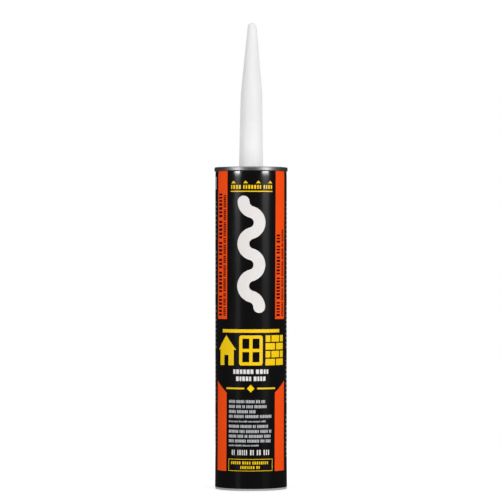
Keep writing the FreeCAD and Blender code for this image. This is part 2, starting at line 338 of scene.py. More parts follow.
# %% Wound ridges
ridges, ridges_in, ridges_out = new_group(
    "Wound ridges",
    {"Pitch": 0.09, "Width": 0.012, "Height": 0.00002},
    gives=[("Height", "Float"), ("Mask", "Float")],
)
axes = add_node(ridges, "ShaderNodeSeparateXYZ")
ridges.links.new(place_on_part(ridges), axes.inputs[0])
turn = calculate(ridges, "ARCTAN2", axes.outputs["Y"], axes.outputs["X"])
turns = calculate(ridges, "DIVIDE", turn, math.tau)
climb = calculate(ridges, "DIVIDE", axes.outputs["Z"], ridges_in["Pitch"])
phase = calculate(ridges, "FRACT", calculate(ridges, "ADD", climb, turns))
from_middle = calculate(ridges, "ABSOLUTE", calculate(ridges, "SUBTRACT", phase, 0.5))
half_width = calculate(ridges, "DIVIDE", ridges_in["Width"], ridges_in["Pitch"])
band = remap(ridges, from_middle, 0.0, half_width, 1.0, 0.0)
feed(ridges, ridges_out["Mask"], band)
feed(ridges, ridges_out["Height"], calculate(ridges, "MULTIPLY", band, ridges_in["Height"]))

# %% [markdown]
# Varnish, paper and moulded plastic are never quite flat or quite even in tone. One noise gives
# both: a small waviness for the bump, and a slight change of tone in step with it.

# %% Fine ripple
ripple, ripple_in, ripple_out = new_group(
    "Fine ripple",
    {"Size": 0.004, "Height": 0.00001, "Tone": 0.03},
    colours=["Color"],
    gives=[("Height", "Float"), ("Color", "Color")],
)
noise = add_node(ripple, "ShaderNodeTexNoise")
noise.inputs["Detail"].default_value = 3.0
ripple.links.new(place_on_part(ripple), noise.inputs["Vector"])
feed(ripple, noise.inputs["Scale"], calculate(ripple, "DIVIDE", 1.0, ripple_in["Size"]))
waviness = calculate(ripple, "MULTIPLY", noise.outputs["Fac"], ripple_in["Height"])
feed(ripple, ripple_out["Height"], waviness)
offset = calculate(ripple, "SUBTRACT", noise.outputs["Fac"], 0.5)
tone = calculate(ripple, "MULTIPLY_ADD", offset, ripple_in["Tone"], 1.0)
shade = add_node(ripple, "ShaderNodeVectorMath", operation="SCALE")
ripple.links.new(ripple_in["Color"], shade.inputs[0])
feed(ripple, shade.inputs["Scale"], tone)
feed(ripple, ripple_out["Color"], shade.outputs[0])

# %% [markdown]
# Handling leaves short upright streaks that are a little duller than the rest. A noise that is
# stretched along the tube draws them, and only the roughness changes.

# %% Rub marks
streak_low = 0.48
streak_high = 0.72

rubs, rubs_in, rubs_out = new_group(
    "Rub marks",
    {"Size": 0.012, "Stretch": 6.0, "Amount": 0.1, "Base": 0.2},
    gives=[("Roughness", "Float")],
)
squeeze = add_node(rubs, "ShaderNodeCombineXYZ")
shrink = calculate(rubs, "DIVIDE", 1.0, rubs_in["Size"])
feed(rubs, squeeze.inputs["X"], shrink)
feed(rubs, squeeze.inputs["Y"], shrink)
feed(rubs, squeeze.inputs["Z"], calculate(rubs, "DIVIDE", shrink, rubs_in["Stretch"]))
scaled = add_node(rubs, "ShaderNodeVectorMath", operation="MULTIPLY")
rubs.links.new(place_on_part(rubs), scaled.inputs[0])
rubs.links.new(squeeze.outputs[0], scaled.inputs[1])
streaks = add_node(rubs, "ShaderNodeTexNoise")
streaks.inputs["Scale"].default_value = 1.0
streaks.inputs["Detail"].default_value = 6.0
streaks.inputs["Roughness"].default_value = 0.7
rubs.links.new(scaled.outputs[0], streaks.inputs["Vector"])
mark = remap(rubs, streaks.outputs["Fac"], streak_low, streak_high, 0.0, 1.0)
dullness = calculate(rubs, "MULTIPLY_ADD", mark, rubs_in["Amount"], rubs_in["Base"])
feed(rubs, rubs_out["Roughness"], dullness)

# %% [markdown]
# ## Finishes
#
# Every finish is one Principled shader with plain numbers set on its own sockets. The groups
# only feed what changes over the surface: colour, roughness, and the height that a Bump node
# turns into a normal.

# %% Finish tool


def use_group(tree, group, **values):
    """Places a shared group in a material and sets its inputs."""
    node = add_node(tree, "ShaderNodeGroup", node_tree=group)
    for label, value in values.items():
        feed(tree, node.inputs[label], value)
    return node.outputs


def new_finish(name, colour, roughness, rub, ripple_size, ripple_height, tone, **plain):
    """A finish with tone and ripple from one group and rub marks from another."""
    material = bpy.data.materials.new(name)
    material.use_nodes = True
    tree = material.node_tree
    shader = tree.nodes["Principled BSDF"]
    for label, value in plain.items():
        shader.inputs[label.replace("_", " ")].default_value = value
    wave = use_group(
        tree, ripple, Size=ripple_size, Height=ripple_height, Tone=tone, Color=(*colour, 1)
    )
    feed(tree, shader.inputs["Base Color"], wave["Color"])
    wear = use_group(tree, rubs, Amount=rub, Base=roughness)
    feed(tree, shader.inputs["Roughness"], wear["Roughness"])
    bump = add_node(tree, "ShaderNodeBump")
    bump.inputs["Distance"].default_value = 1.0
    feed(tree, bump.inputs["Height"], wave["Height"])
    feed(tree, shader.inputs["Normal"], bump.outputs["Normal"])
    print("finish:", name)
    return material


def add_relief(material, group, **values):
    """Adds another group's height to a finish's bump."""
    tree = material.node_tree
    bump = tree.nodes["Bump"]
    height_so_far = bump.inputs["Height"].links[0].from_socket
    extra = use_group(tree, group, **values)
    feed(tree, bump.inputs["Height"], calculate(tree, "ADD", height_so_far, extra["Height"]))
    return extra


# %% [markdown]
# The label is printed paper under a gloss varnish, so all its inks share one smooth, shiny
# surface and differ in colour alone. The cut edge of the paper is matte. One picture of the whole
# label would also work, but separate inks stay crisp from any distance.

# %% Printed inks
ply_pitch = 0.085
ply_band = 0.004
ply_step = 0.000006


def new_ink(name, colour):
    """A gloss varnished ink on the label."""
    ink = new_finish(
        name,
        colour,
        roughness=0.16,
        rub=0.05,
        ripple_size=0.006,
        ripple_height=0.0000015,
        tone=0.06,
        IOR=1.6,
    )
    add_relief(ink, ridges, Pitch=ply_pitch, Width=ply_band, Height=ply_step)
    return ink


inks = {
    "black": new_ink("black_ink", (0.0033, 0.0028, 0.0029)),
    "orange": new_ink("orange_ink", (0.92, 0.071, 0.0015)),
    "yellow": new_ink("yellow_ink", (0.91, 0.59, 0.001)),
    "white": new_ink("white_ink", (0.758, 0.728, 0.714)),
    "grey": new_ink("fine_print_ink", (0.52, 0.53, 0.55)),
}
paper_edge = new_finish(
    "paper_edge",
    (0.55, 0.53, 0.5),
    roughness=0.8,
    rub=0.1,
    ripple_size=0.001,
    ripple_height=0.00001,
    tone=0.2,
)

# %% [markdown]
# ## The label
#
# The label is one printed sheet, laid round the tube with a narrow lap at the back. Its colours
# have crisp edges, so they are modelled as real outlines in the mesh and need no picture. All
# the outlines are drawn flat on the unrolled sheet, in millimetres. One Delaunay triangulation
# then cuts the sheet along every outline and along a grid of upright lines, which lets it bend
# smoothly round the tube. Each triangle remembers which outlines it lies in, and so which ink it
# gets. The sheet isn't quite straight: it flares a little at the foot, and under the metal rim it
# is pinched in with the board and turns out again at its very edge.

# %% Label shape
label_low, label_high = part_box("label_ground")
tube_radius = mounts["label_barrel"]["dims"]["r_mm"]
sheet_bottom = label_low.z / MM
sheet_top = label_high.z / MM
foot_flare = label_high.x / MM - tube_radius
foot_flare_height = 30.0
sheet_thickness = 0.2
lap_thickness = 0.13
lap_gap = 0.01
lap_deg = 9.0
lap_ramp_deg = 2.5
rim_overhang = 2.9
neck_height = 7.0
neck_depth = 0.2
crimp_bottom = mounts["front_rim"]["pos_m"][2] / MM - rim_overhang
lip_start = crimp_bottom + 0.3
lip_end = lip_start + 0.35
lip_flare = 0.35
skew_deg_per_mm = 0.0125
skew_centre = 112.0
print("label from", round(sheet_bottom, 2), "to", round(sheet_top, 2), "mm, radius", tube_radius)


def arc_length(degrees):
    """The distance along the unrolled sheet for an angle round the tube."""
    return math.radians(degrees) * tube_radius


def swell(height):
    """How far the sheet stands outside its straight radius, in millimetres."""
    if height < foot_flare_height:
        return foot_flare * (1 - (height - sheet_bottom) / (foot_flare_height - sheet_bottom))
    rise = (height - crimp_bottom) / neck_height + 1
    if rise <= 0:
        return 0.0
    lip = min(max((height - lip_start) / (lip_end - lip_start), 0), 1)
    return lip_flare * lip - neck_depth * min(rise, 1) ** 3


def lap_lift(along):
    """How far the sheet is lifted where its end lies over its start."""
    ramp_start = arc_length(180 - lap_ramp_deg)
    rise = min(max((along - ramp_start) / (arc_length(180) - ramp_start), 0), 1)
    return rise * rise * (3 - 2 * rise)


def sheet_turn(along, height):
    """The angle round the tube. The sheet was wound a little askew, so it changes with height."""
    return along / tube_radius + math.radians(skew_deg_per_mm * (height - skew_centre))


def wrap(along, height, under):
    """A point of the sheet's outer or under side in space, in metres."""
    lift = lap_lift(along)
    radius = tube_radius + swell(height) + lift * (lap_thickness + lap_gap)
    if under:
        radius -= sheet_thickness + lift * (lap_thickness - sheet_thickness)
    turn = sheet_turn(along, height)
    return Vector((radius * math.sin(turn), -radius * math.cos(turn), height)) * MM


def outward(along, height):
    """The direction that the sheet's outer side faces."""
    step = 0.01
    slope = (swell(height + step) - swell(height - step)) / (2 * step)
    turn = sheet_turn(along, height)
    return Vector((math.sin(turn), -math.cos(turn), -slope)).normalized()


# %% [markdown]
# Five small functions draw on the unrolled sheet. A shape that a viewer in front should see
# without distortion, such as a square window, is drawn straight on first and then laid along the
# curve.

# %% Outline tools
fields = []


def ink_field(ink, outline):
    """Adds a flat outline to the sheet. Later fields lie over earlier ones."""
    fields.append((ink, outline))


def bar(ink, left, right, bottom, top):
    """A rectangle of ink, in millimetres along and up the sheet."""
    ink_field(ink, [(left, bottom), (right, bottom), (right, top), (left, top)])


def band_bar(ink, half_deg, bottom, height):
    """A centred bar that spans the same angle each way."""
    bar(ink, -arc_length(half_deg), arc_length(half_deg), bottom, bottom + height)


def facing(points, middle_deg):
    """Lays a drawing seen straight on at an angle round the tube along the curved sheet."""
    middle = arc_length(middle_deg)
    return [(middle + math.asin(x / tube_radius) * tube_radius, z) for x, z in points]


def finely(points, step=0.8):
    """Divides the long edges of an outline so that it can bend."""
    made = []
    for (x0, z0), (x1, z1) in zip(points, points[1:] + points[:1]):
        count = max(1, math.ceil(abs(x1 - x0) / step))
        made += [(x0 + (x1 - x0) * i / count, z0 + (z1 - z0) * i / count) for i in range(count)]
    return made


# %% [markdown]
# Four orange panels stand at the sides of the black front, two above and two below. The lower
# ones have a slanted top. Their edges run straight up the tube, so plain corners are enough.

# %% Coloured panels
panel_degs = (42.0, 66.9)
upper_panel_bottom = 116.4
lower_panel_bottom = 13.2
lower_panel_inner_top = 66.5
lower_panel_outer_top = 74.4

for side in (-1, 1):
    near, far = (side * arc_length(degrees) for degrees in panel_degs)
    ink_field(
        "orange",
        [(near, upper_panel_bottom), (far, upper_panel_bottom), (far, sheet_top), (near, sheet_top)],
    )
    ink_field(
        "orange",
        [
            (near, lower_panel_bottom),
            (far, lower_panel_bottom),
            (far, lower_panel_outer_top),
            (near, lower_panel_inner_top),
        ],
    )
print("orange panels:", len(fields))

# %% [markdown]
# At the top four small arrowheads point at the metal end over a thin rule, and at the foot a thin
# box holds two rows. The box is a yellow field with a smaller black one laid over it, which is
# simpler than four separate lines. The upper marks are measured down from the metal rim.

# %% Small marks at the top and foot
rim_height = mounts["front_rim"]["pos_m"][2] / MM
arrow_width = 3.4
arrow_height = 1.8
arrow_base = rim_height - 11.4
arrow_degs = (-30.1, -9.8, 10.6, 31.0)
rule_bottom = rim_height - 17.2
rule_half_deg = 35.2
rule_height = 0.7
box_half_deg = 37.3
box_bottom = 13.5
box_height = 8.2
box_line = 0.35

for degrees in arrow_degs:
    arrow = [(-arrow_width / 2, arrow_base), (arrow_width / 2, arrow_base)]
    arrow.append((0, arrow_base + arrow_height))
    ink_field("yellow", facing(arrow, degrees))
band_bar("yellow", rule_half_deg, rule_bottom, rule_height)
band_bar("yellow", box_half_deg, box_bottom, box_height)
inner_half = arc_length(box_half_deg) - box_line
bar("black", -inner_half, inner_half, box_bottom + box_line, box_bottom + box_height - box_line)
print("box in mm:", round(2 * inner_half + 2 * box_line, 2), "by", box_height)

# %% [markdown]
# The large white mark is a winding bead, as a cartridge would lay it: equal arcs that bend left
# and right by turns. Its two sides are offset from one middle line, and its ends are half round.
# Arcs keep the bend even, where a sine wave would be sharp at its crests and straight in between.

# %% White bead
bead_bottom = 120.7
bead_top = rim_height - 19.8
bead_width = 8.0
bead_turn_deg = 150.0
bead_runs = 5
steps_per_bend = 24
steps_per_end = 12


def bead_line():
    """Points of the bead's middle line with the heading at each."""
    half_turn = math.radians(bead_turn_deg / 2)
    chord = (bead_top - bead_bottom - bead_width) / bead_runs
    radius = chord / 2 / math.sin(half_turn)
    sweep = radius * (1 - math.cos(half_turn))
    turns = [half_turn]
    turns += [half_turn * (2 if index % 2 else -2) for index in range(bead_runs - 1)]
    turns.append(half_turn if bead_runs % 2 == 0 else -half_turn)
    x, z, heading = sweep, bead_bottom + bead_width / 2, math.pi / 2
    path = [(x, z, heading)]
    for bend in turns:
        steps = steps_per_bend if abs(bend) > half_turn else steps_per_bend // 2
        for _ in range(steps):
            piece = bend / steps
            reach = 2 * radius * math.sin(abs(piece) / 2)
            x += reach * math.cos(heading + piece / 2)
            z += reach * math.sin(heading + piece / 2)
            heading += piece
            path.append((x, z, heading))
    return path


def round_end(x, z, heading):
    """The half circle that closes the bead where it ends."""
    turns = [heading - math.pi / 2 + math.pi * i / steps_per_end for i in range(1, steps_per_end)]
    return [(x + bead_width / 2 * math.cos(a), z + bead_width / 2 * math.sin(a)) for a in turns]


def beside(x, z, heading, offset):
    """A point to the left of a place on the line, or to the right if offset is negative."""
    return (x - math.sin(heading) * offset, z + math.cos(heading) * offset)


middle_line = bead_line()
right_side = [beside(*point, -bead_width / 2) for point in middle_line]
left_side = [beside(*point, bead_width / 2) for point in reversed(middle_line)]
start_x, start_z, start_heading = middle_line[0]
bead_outline = right_side + round_end(*middle_line[-1]) + left_side
bead_outline += round_end(start_x, start_z, start_heading + math.pi)
ink_field("white", facing(bead_outline, 0))
print("bead outline points:", len(bead_outline))

# %% [markdown]
# Under a yellow band, three plain signs say where the sealant goes: on a house, a window and
# brickwork. They are drawn straight on and then laid round the tube. The house is one outline
# with the door as a notch in its foot.

# %% Yellow band and house
band_half_deg = 51.6
band_bottom = 107.3
band_height = 2.3
sign_bottom = 85.1
sign_width = 16.0
sign_height = 20.4
sign_pitch_deg = 43.0
sign_half = sign_width / 2
sign_top = sign_bottom + sign_height
eaves = sign_bottom + 10.5
eaves_overhang = 1.8
house_wall = sign_half - eaves_overhang
door_half = 1.9
door_top = sign_bottom + 7.0

band_bar("yellow", band_half_deg, band_bottom, band_height)

house = [
    (-house_wall, sign_bottom),
    (-door_half, sign_bottom),
    (-door_half, door_top),
    (door_half, door_top),
    (door_half, sign_bottom),
    (house_wall, sign_bottom),
    (house_wall, eaves),
    (sign_half, eaves),
    (0, sign_top),
    (-sign_half, eaves),
    (-house_wall, eaves),
]
ink_field("yellow", facing(finely(house), -sign_pitch_deg))
print("house corners:", len(house))

# %% [markdown]
# The window is a yellow plate with round corners, and its four panes are black fields laid over
# it. The bricks are separate rectangles, and every second course is shifted by half a brick.

# %% Window
window_bar = 2.2
window_corner = 1.5
corner_steps = 4


def straight_on(left, right, bottom, top, corner=0.0):
    """A rectangle seen straight on, with round corners if corner is above 0."""
    if corner == 0:
        return finely([(left, bottom), (right, bottom), (right, top), (left, top)])
    centres = [
        (right - corner, bottom + corner, -90),
        (right - corner, top - corner, 0),
        (left + corner, top - corner, 90),
        (left + corner, bottom + corner, 180),
    ]
    points = []
    for x, z, first in centres:
        for step in range(corner_steps + 1):
            turn = math.radians(first + 90 * step / corner_steps)
            points.append((x + corner * math.cos(turn), z + corner * math.sin(turn)))
    return finely(points)


window = straight_on(-sign_half, sign_half, sign_bottom, sign_top, window_corner)
ink_field("yellow", facing(window, 0))
pane_width = (sign_width - 3 * window_bar) / 2
pane_height = (sign_height - 3 * window_bar) / 2
for left in (-sign_half + window_bar, window_bar / 2):
    for low in (sign_bottom + window_bar, sign_bottom + 2 * window_bar + pane_height):
        pane = straight_on(left, left + pane_width, low, low + pane_height)
        ink_field("black", facing(pane, 0))
print("pane in mm:", round(pane_width, 2), "by", round(pane_height, 2))

# %% Brickwork
brick_courses = 4
brick_joint = 0.9

course = (sign_height - (brick_courses - 1) * brick_joint) / brick_courses
for index in range(brick_courses):
    low = sign_bottom + index * (course + brick_joint)
    joints = (0,) if index % 2 == 0 else (-sign_half / 2, sign_half / 2)
    lefts = [-sign_half] + [middle + brick_joint / 2 for middle in joints]
    rights = [middle - brick_joint / 2 for middle in joints] + [sign_half]
    for left, right in zip(lefts, rights):
        brick = straight_on(left, right, low, low + course)
        ink_field("yellow", facing(brick, sign_pitch_deg))
print("height of a brick in mm:", round(course, 2))

# %% [markdown]
# A diamond between two short rules closes the yellow part of the front. They are drawn straight
# on as well, so that the diamond keeps four equal sides when it is seen from the front.

# %% Diamond and dividers
diamond_height = 69.5
diamond_half = 2.6
divider_near = 4.4
divider_far = 16.5
divider_half = 0.55

diamond = [(-diamond_half, 0), (0, -diamond_half), (diamond_half, 0), (0, diamond_half)]
ink_field("yellow", facing([(x, z + diamond_height) for x, z in diamond], 0))
for side in (-1, 1):
    ends = sorted((side * divider_near, side * divider_far))
    divider = straight_on(*ends, diamond_height - divider_half, diamond_height + divider_half)
    ink_field("yellow", facing(divider, 0))
print("outlines so far:", len(fields))

# %% [markdown]
# Rows of small blocks stand for small print. Each row is cut into groups and each group into
# short strokes, some of slightly different heights, so that from a step away it has the grey tone
# and the rhythm of print, and stays plain from close by. The random numbers are seeded, so that
# every run gives the same rows.

# %% Rows of blocks
row_dice = random.Random(41)
stroke_spread = (0.75, 1.2)
word_space = 0.35


def strokes(length, height, letters=(2, 9), wide=0.36, gap=0.18, tops=(0.72, 0.76, 1.0)):
    """Blocks of one row as (start, end, top), stretched to end where the row ends."""
    found = []
    at = 0.0
    while at < length - height:
        for _ in range(row_dice.randint(*letters)):
            width = height * wide * row_dice.uniform(*stroke_spread)
            if at + width > length:
                break
            found.append((at, at + width, height * row_dice.choice(tops)))
            at += width + height * gap
        at += height * word_space
    stretch = length / found[-1][1]
    return [(start * stretch, end * stretch, top) for start, end, top in found]


def block_row(ink, left, right, foot, height, **shape):
    """One level row of blocks between two places along the sheet."""
    for start, end, top in strokes(right - left, height, **shape):
        bar(ink, left + start, left + end, foot, foot + top)


def block_column(ink, middle, bottom, top, height, **shape):
    """One row of blocks that reads up the sheet, centred on a place along it."""
    foot = middle + height / 2
    for start, end, high in strokes(top - bottom, height, **shape):
        bar(ink, foot - high, foot, bottom + start, bottom + end)


# %% [markdown]
# The front has two white rows under the signs, ten small grey rows that all start at the same
# left edge, a larger white row below them, and yellow rows under the arrowheads and in the box.
# Their heights and widths stand in tables, so that each can be changed in one place.

# %% Rows on the front
caption_rows = [(79.4, 29.0), (74.6, 24.0)]
caption_thickness = 3.0
large_row = (24.3, 31.0)
large_thickness = 3.6
upper_half_deg = 34.5
upper_foot = rule_bottom + 2.0
upper_thickness = 2.6
box_rows = [(box_bottom + 4.6, -32, 29), (box_bottom + 1.5, -16, 15)]
box_row_thickness = 2.0
small_left_deg = -36.8
capital_height = 2.0
low_height = 1.2
small_rows = [
    (60.6, 23.6, capital_height),
    (57.2, 25.9, capital_height),
    (53.8, 7.6, capital_height),
    (50.5, 34.8, capital_height),
    (47.2, 24.4, low_height),
    (43.8, 28.8, capital_height),
    (40.4, 34.8, capital_height),
    (37.1, 33.4, capital_height),
    (33.9, 33.4, capital_height),
    (30.9, 13.3, low_height),
]
capitals = {"letters": (3, 8), "wide": 0.56, "gap": 0.2, "tops": (1.0,)}
light_capitals = {"letters": (3, 8), "wide": 0.42, "gap": 0.26, "tops": (1.0,)}
narrow_capitals = {"wide": 0.34, "gap": 0.17, "tops": (1.0,)}
thin_capitals = {"letters": (2, 5), "wide": 0.22, "gap": 0.2, "tops": (1.0,)}

for foot, half_deg in caption_rows:
    half = arc_length(half_deg)
    block_row("white", -half, half, foot, caption_thickness, **capitals)
large_foot, large_half_deg = large_row
large_half = arc_length(large_half_deg)
block_row("white", -large_half, large_half, large_foot, large_thickness, **thin_capitals)
upper_half = arc_length(upper_half_deg)
block_row("yellow", -upper_half, upper_half, upper_foot, upper_thickness, **light_capitals)
for middle, right_deg, height in small_rows:
    left = arc_length(small_left_deg)
    shape = narrow_capitals if height == capital_height else {}
    block_row("grey", left, arc_length(right_deg), middle - height / 2, height, **shape)
for foot, left_deg, right_deg in box_rows:
    left = arc_length(left_deg)
    block_row("yellow", left, arc_length(right_deg), foot, box_row_thickness, **light_capitals)
print("outlines with the front's rows:", len(fields))

# %% [markdown]
# On the upper orange panels the rows run up the tube, a large one and a small one on each side.
# They are made of the same strokes, with length and height exchanged, so no outline has to be
# turned.

# %% Rows on the panels
panel_capitals = {"letters": (3, 8), "wide": 0.36, "gap": 0.24, "tops": (1.0,)}
panel_columns = [
    (-58.7, 118.7, 201.8, 4.1, panel_capitals),
    (-47.6, 118.7, 200.6, 2.5, narrow_capitals),
    (48.8, 118.4, 173.9, 3.6, panel_capitals),
    (60.2, 118.4, 177.2, 2.4, narrow_capitals),
]
for middle_deg, bottom, top, height, shape in panel_columns:
    block_column("black", arc_length(middle_deg), bottom, top, height, **shape)
print("outlines with the panels' rows:", len(fields))

# %% [markdown]
# The sides and the back carry the small print of such a cartridge: long columns of rows in
# groups, each group under a yellow heading. Here the blocks are longer and fewer, because nobody
# looks at these rows from close by. A white field with plain bars is at the top of the left side.

# %% Rows on the sides and the back
side_pitch = 3.1
side_bottom = 22.0
side_rows = 57
side_columns = [
    (-150, -84, "grey"),
    (-82.5, -77.5, "white"),
    (77.5, 82.5, "white"),
    (84, 150, "grey"),
]
side_top_block_deg = (-111.0, -76.5)
side_block_top = rim_height - 6.8
side_block_height = 8.4
heading_every = 12
heading_share = 0.45
row_shares = (0.78, 1.0)
side_row_height = 1.0
side_words = (1.2, 5.5)
side_word_gap = 0.9

bar(
    "white",
    arc_length(side_top_block_deg[0]),
    arc_length(side_top_block_deg[1]),
    side_block_top - side_block_height,
    side_block_top,
)
for first_deg, last_deg, row_ink in side_columns:
    for index in range(side_rows):
        low = side_bottom + index * side_pitch
        if index % heading_every == heading_every - 1:
            continue
        left = arc_length(first_deg)
        right = left + (arc_length(last_deg) - left) * row_dice.uniform(*row_shares)
        ink = row_ink
        if index % heading_every == heading_every - 2:
            right = left + (right - left) * heading_share
            ink = "yellow"
        at = left
        while at < right - side_row_height:
            end = min(at + row_dice.uniform(*side_words), right)
            bar(ink, at, end, low, low + side_row_height)
            at = end + side_word_gap

# %% Bars on the white field
bars_degs = (-108.0, -81.0)
bars_margin = 1.2
bars_widths = (0.4, 0.4, 0.8, 1.2)
bars_bottom = side_block_top - side_block_height + bars_margin
bars_top = side_block_top - bars_margin
at = arc_length(bars_degs[0])
while at < arc_length(bars_degs[1]):
    end = at + row_dice.choice(bars_widths)
    bar("black", at, end, bars_bottom, bars_top)
    at = end + row_dice.choice(bars_widths)
print("outlines on the label:", len(fields))

# %% [markdown]
# Now the sheet is cut. The grid's upright lines are so close that the flat facets between them
# leave the round tube by less than a hundredth of a millimetre. Level lines are needed only where
# the sheet bends up and down: at the foot and at the neck under the metal rim. The whole sheet is
# the first outline, so a triangle that lies in no other one is black.

# %% Cut the sheet
grid_step_deg = 2.5
neck_lines = 10
level_lines = [foot_flare_height, foot_flare_height / 2, lip_start, lip_end]
level_lines += [crimp_bottom - neck_height * line / neck_lines for line in range(neck_lines + 1)]
sheet_left = arc_length(-180)
sheet_right = arc_length(180 + lap_deg)
weld = 0.0005

points = []
edges = []
outlines = []


def signed_area(outline):
    """Twice the outline's area, above 0 where it runs anticlockwise."""
    pairs = zip(outline, outline[1:] + outline[:1])
    return sum(x0 * z1 - x1 * z0 for (x0, z0), (x1, z1) in pairs)


def add_outline(outline):
    """Adds an outline to the cut, always anticlockwise."""
    first = len(points)
    ordered = outline if signed_area(outline) > 0 else outline[::-1]
    points.extend(Vector(point) for point in ordered)
    outlines.append(list(range(first, len(points))))


def add_line(start, end):
    """Adds a grid line to the cut."""
    edges.append((len(points), len(points) + 1))
    points.extend((Vector(start), Vector(end)))


add_outline(
    [
        (sheet_left, sheet_bottom),
        (sheet_right, sheet_bottom),
        (sheet_right, sheet_top),
        (sheet_left, sheet_top),
    ]
)
for ink, outline in fields:
    add_outline(outline)
upright = -180 + grid_step_deg
while upright < 180 + lap_deg:
    add_line((arc_length(upright), sheet_bottom), (arc_length(upright), sheet_top))
    upright += grid_step_deg
for level in level_lines:
    add_line((sheet_left, level), (sheet_right, level))

cut_points, _, cut_faces, _, _, cut_fields = delaunay_2d_cdt(points, edges, outlines, 0, weld)
face_inks = [fields[max(found) - 1][0] if max(found) > 0 else "black" for found in cut_fields]
print("triangles in the sheet:", len(cut_faces))

# %% [markdown]
# Each ink becomes a piece of its own: its triangles, once on the outer side and once on the under
# side, and a narrow wall along every open edge. The walls are as thick as the printed ply and
# carry the matte colour of cut paper. The normals are set from the true curve, so that the
# varnish mirrors smoothly over flat triangles.

# %% Wrap each ink


def make_print(name, ink):
    """The part of the sheet that carries one ink, as a closed thin shell round the tube."""
    chosen = [face for face, found in zip(cut_faces, face_inks) if found == ink]
    used = sorted({corner for face in chosen for corner in face})
    number = {corner: index for index, corner in enumerate(used)}
    count = len(used)
    vertices = [wrap(*cut_points[corner], False) for corner in used]
    vertices += [wrap(*cut_points[corner], True) for corner in used]
    radial = [outward(*cut_points[corner]) for corner in used]
    faces = []
    normals = []
    sides = {}
    for face in chosen:
        a, b, c = (number[corner] for corner in face)
        faces += [(a, b, c), (c + count, b + count, a + count)]
        normals += [radial[a], radial[b], radial[c], -radial[c], -radial[b], -radial[a]]
        for edge in ((a, b), (b, c), (c, a)):
            if edge[::-1] in sides:
                del sides[edge[::-1]]
            else:
                sides[edge] = True
    skin_faces = len(faces)
    for a, b in sides:
        faces.append((b, a, a + count, b + count))
        across = vertices[a] - vertices[b]
        normals += [across.cross(radial[a]).normalized()] * 4
    mesh = bpy.data.meshes.new(name)
    mesh.from_pydata(vertices, [], faces)
    mesh.materials.append(inks[ink])
    mesh.materials.append(paper_edge)
    for polygon in mesh.polygons[skin_faces:]:
        polygon.material_index = 1
    mesh.shade_smooth()
    mesh.normals_split_custom_set(normals)
    piece = bpy.data.objects.new(name, mesh)
    bpy.context.scene.collection.objects.link(piece)
    print(name, "faces:", len(faces))
    return piece


print_names = {
    "grey": ("fine_print", "label_white", "ink_white"),
    "black": ("black_print", "label_ground", "ink_black"),
    "orange": ("orange_print", "label_orange", "ink_orange"),
    "yellow": ("yellow_print", "label_yellow", "ink_yellow"),
    "white": ("white_print", "label_white", "ink_white"),
}
for ink, (print_name, node, slot_name) in print_names.items():
    print_piece = make_print(print_name, ink)
    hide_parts(node)
    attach(print_piece, "barrel")

# %% [markdown]
# ## Spun pieces
#
# The nozzle and the filling are round, so each is a profile spun about the upright axis. A
# profile is a list of corners (radius, height, rounding) in millimetres. A rounded corner becomes
# an arc that meets both of its straight neighbours smoothly. A Screw modifier could spin it too,
# but here the points can still be moved one by one, which the bowed nozzle needs.

# %% Profile tools


def round_corner(before, corner, after, radius, steps=10):
    """Points of the arc that rounds a corner, in (radius, height) pairs."""
    bend, back, ahead = (Vector(point) for point in (corner, before, after))
    to_back = (back - bend).normalized()
    to_ahead = (ahead - bend).normalized()
    half = to_back.angle(to_ahead) / 2
    centre = bend + (to_back + to_ahead).normalized() * (radius / math.sin(half))
    first = bend + to_back * (radius / math.tan(half)) - centre
    sweep = math.pi - 2 * half
    if to_back.cross(to_ahead) > 0:
        sweep = -sweep
    found = []
    for step in range(steps + 1):
        turn = sweep * step / steps
        x = first.x * math.cos(turn) - first.y * math.sin(turn)
        y = first.x * math.sin(turn) + first.y * math.cos(turn)
        found.append((centre.x + x, centre.y + y))
    return found


def smooth_profile(corners):
    """A profile with its rounded corners drawn as arcs."""
    found = []
    for index, (radius, height, rounding) in enumerate(corners):
        if rounding == 0:
            found.append((radius, height))
            continue
        before = corners[index - 1][:2]
        after = corners[index + 1][:2]
        found += round_corner(before, (radius, height), after, rounding)
    return found


def divided(profile, longest):
    """The profile with extra points on its long stretches, so that it can bend."""
    found = [profile[0]]
    for (r0, z0), (r1, z1) in zip(profile, profile[1:]):
        count = max(1, math.ceil(math.hypot(r1 - r0, z1 - z0) / longest))
        found += [(r0 + (r1 - r0) * i / count, z0 + (z1 - z0) * i / count) for i in range(1, count + 1)]
    return found


# %% Spinning tool
round_sectors = 96
sharp_deg = 32


def spin(name, profile, sectors, move=None):
    """Spins a profile that starts and ends on the axis into a closed mesh piece."""
    rings = profile[1:-1]
    vertices = [Vector((0, 0, profile[0][1])), Vector((0, 0, profile[-1][1]))]
    for radius, height in rings:
        for sector in range(sectors):
            turn = math.tau * sector / sectors
            vertices.append(Vector((radius * math.cos(turn), radius * math.sin(turn), height)))
    if move is not None:
        vertices = [move(vertex) for vertex in vertices]
    faces = []
    for sector in range(sectors):
        following = (sector + 1) % sectors
        faces.append((0, 2 + following, 2 + sector))
        last = 2 + (len(rings) - 1) * sectors
        faces.append((1, last + sector, last + following))
        for ring in range(len(rings) - 1):
            low = 2 + ring * sectors
            high = low + sectors
            faces.append((low + sector, low + following, high + following, high + sector))
    mesh = bpy.data.meshes.new(name)
    mesh.from_pydata([vertex * MM for vertex in vertices], [], faces)
    mesh.shade_smooth()
    mesh.set_sharp_from_angle(angle=math.radians(sharp_deg))
    piece = bpy.data.objects.new(name, mesh)
    bpy.context.scene.collection.objects.link(piece)
    print(name, "faces:", len(faces))
    return piece


